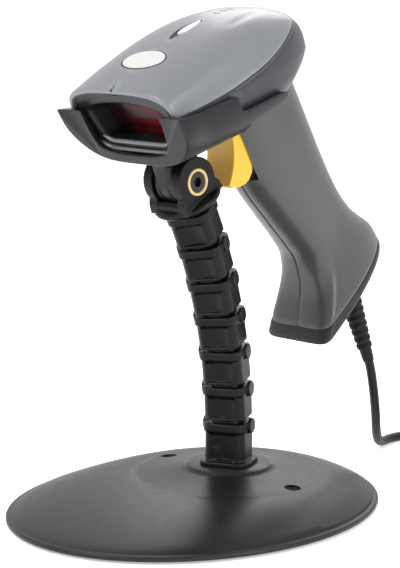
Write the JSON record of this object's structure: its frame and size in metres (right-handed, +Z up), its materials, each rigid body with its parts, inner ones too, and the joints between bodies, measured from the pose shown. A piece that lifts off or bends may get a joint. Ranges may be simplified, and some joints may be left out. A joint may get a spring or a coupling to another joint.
{
  "type": "handheld barcode scanner",
  "caption": "Handheld barcode scanner with a trigger and cable, resting in its hands-free gooseneck stand with a weighted oval base.",
  "frame": {"origin": "on the table, on the axis of the neck foot, midway between the two desk screw holes", "axes": "+Z up, the scanner looks towards -Y, +X is to the right seen from the front facing +Y"},
  "size_m": [0.1724, 0.263, 0.2149],
  "materials": {
    "base_plastic": "satin moulded plastic",
    "neck_plastic": "satin moulded plastic",
    "cradle_plastic": "fine textured plastic",
    "cover_grey": "semi-gloss moulded plastic",
    "head_dark": "satin moulded plastic",
    "handle_grey": "satin moulded plastic",
    "cap_dark": "satin moulded plastic",
    "bezel_dark": "fine textured plastic",
    "window_red": "polished dark red filter",
    "light_white": "frosted light guide",
    "badge_white": "gloss plate",
    "trigger_orange": "gloss moulded plastic",
    "steel": "plated steel",
    "bolt_black": "black oxide",
    "ballast": "zinc plated steel plate",
    "rubber_black": "matte rubber",
    "ring_cream": "moulded nylon",
    "washer_nylon": "nylon",
    "board_green": "solder mask",
    "engine_black": "black moulded plastic",
    "lens_glass": "coated lens",
    "mirror": "front silvered mirror",
    "part_black": "moulded plastic",
    "connector_white": "nylon connector body",
    "cable_black": "soft satin jacket",
    "tie_black": "plastic tie"
  },
  "bodies": {
    "stand_base": {"base_shell": "base_plastic", "base_weight": "ballast", "base_bottom_plate": "base_plastic", "rubber_feet": "rubber_black", "desk_pads": "rubber_black", "base_screws": "steel", "neck_clamp_plate": "steel", "foot_screws": "steel", "neck_foot": "neck_plastic", "cable_lead": "cable_black", "cable_coil": "cable_black", "cable_tie": "tie_black", "usb_plug": "cable_black", "usb_contact_shell": "steel"},
    "link_2": {"neck_link_2": "neck_plastic"},
    "link_3": {"neck_link_3": "neck_plastic"},
    "link_4": {"neck_link_4": "neck_plastic"},
    "link_5": {"neck_link_5": "neck_plastic"},
    "link_6": {"neck_link_6": "neck_plastic"},
    "link_7": {"neck_link_7": "neck_plastic"},
    "fork": {"fork": "neck_plastic", "hinge_ring": "ring_cream", "hinge_bolt": "bolt_black", "hinge_nut": "steel"},
    "cradle": {"cradle": "cradle_plastic", "cradle_pads": "rubber_black", "friction_washers": "washer_nylon"},
    "scanner": {"top_cover": "cover_grey", "head_lower_shell": "head_dark", "handle_left": "handle_grey", "handle_right": "handle_grey", "butt_cap": "cap_dark", "nose_bezel": "bezel_dark", "scan_window": "window_red", "led_light_pipe": "light_white", "badge": "badge_white", "trigger_pin": "steel", "trigger_switch": "part_black", "main_board": "board_green", "handle_board": "board_green", "scan_engine": "engine_black", "engine_lens": "lens_glass", "illumination_board": "board_green", "fold_mirror": "mirror", "beeper": "part_black", "housing_screws": "steel", "cable_connector": "connector_white", "strain_relief_boot": "rubber_black", "cable_hanging": "cable_black"},
    "trigger": {"trigger": "trigger_orange", "trigger_spring": "steel"}
  },
  "joints": [
    {"name": "neck_bend", "type": "hinge", "parent": "stand_base", "child": "link_2", "pos_m": [0, 0, 0.0343], "axis": [1, 0, 0], "range_deg": [-1.5, 5]},
    {"name": "neck_bend_2", "type": "hinge", "parent": "link_2", "child": "link_3", "pos_m": [0, -0.00078, 0.05088], "axis": [1, 0, 0], "range_deg": [-1.5, 5]},
    {"name": "neck_bend_3", "type": "hinge", "parent": "link_3", "child": "link_4", "pos_m": [0, -0.0028, 0.06736], "axis": [1, 0, 0], "range_deg": [-1.5, 5]},
    {"name": "neck_bend_4", "type": "hinge", "parent": "link_4", "child": "link_5", "pos_m": [0, -0.00606, 0.08364], "axis": [1, 0, 0], "range_deg": [-1.5, 5]},
    {"name": "neck_bend_5", "type": "hinge", "parent": "link_5", "child": "link_6", "pos_m": [0, -0.01052, 0.09962], "axis": [1, 0, 0], "range_deg": [-1.5, 5]},
    {"name": "neck_bend_6", "type": "hinge", "parent": "link_6", "child": "link_7", "pos_m": [0, -0.01617, 0.11523], "axis": [1, 0, 0], "range_deg": [-1.5, 5]},
    {"name": "neck_bend_7", "type": "hinge", "parent": "link_7", "child": "fork", "pos_m": [0, -0.02298, 0.13037], "axis": [1, 0, 0], "range_deg": [-1.5, 5]},
    {"name": "cradle_tilt", "type": "hinge", "parent": "fork", "child": "cradle", "pos_m": [0, -0.03037, 0.144], "axis": [1, 0, 0], "range_deg": [-5, 20]},
    {"name": "scanner_lift", "type": "slide", "parent": "cradle", "child": "scanner", "axis": [0, -0.284, 0.9588], "range_m": [0, 0.06]},
    {"name": "trigger_pull", "type": "hinge", "parent": "scanner", "child": "trigger", "pos_m": [0, 0.0018, 0.16917], "axis": [1, 0, 0], "range_deg": [0, 7], "stiffness_Nm_per_rad": 0.3, "springref_deg": -5.73}
  ],
  "couplings": [
    {"joint": "neck_bend_2", "follows": "neck_bend", "ratio": 1},
    {"joint": "neck_bend_3", "follows": "neck_bend", "ratio": 1},
    {"joint": "neck_bend_4", "follows": "neck_bend", "ratio": 1},
    {"joint": "neck_bend_5", "follows": "neck_bend", "ratio": 1},
    {"joint": "neck_bend_6", "follows": "neck_bend", "ratio": 1},
    {"joint": "neck_bend_7", "follows": "neck_bend", "ratio": 1}
  ]
}
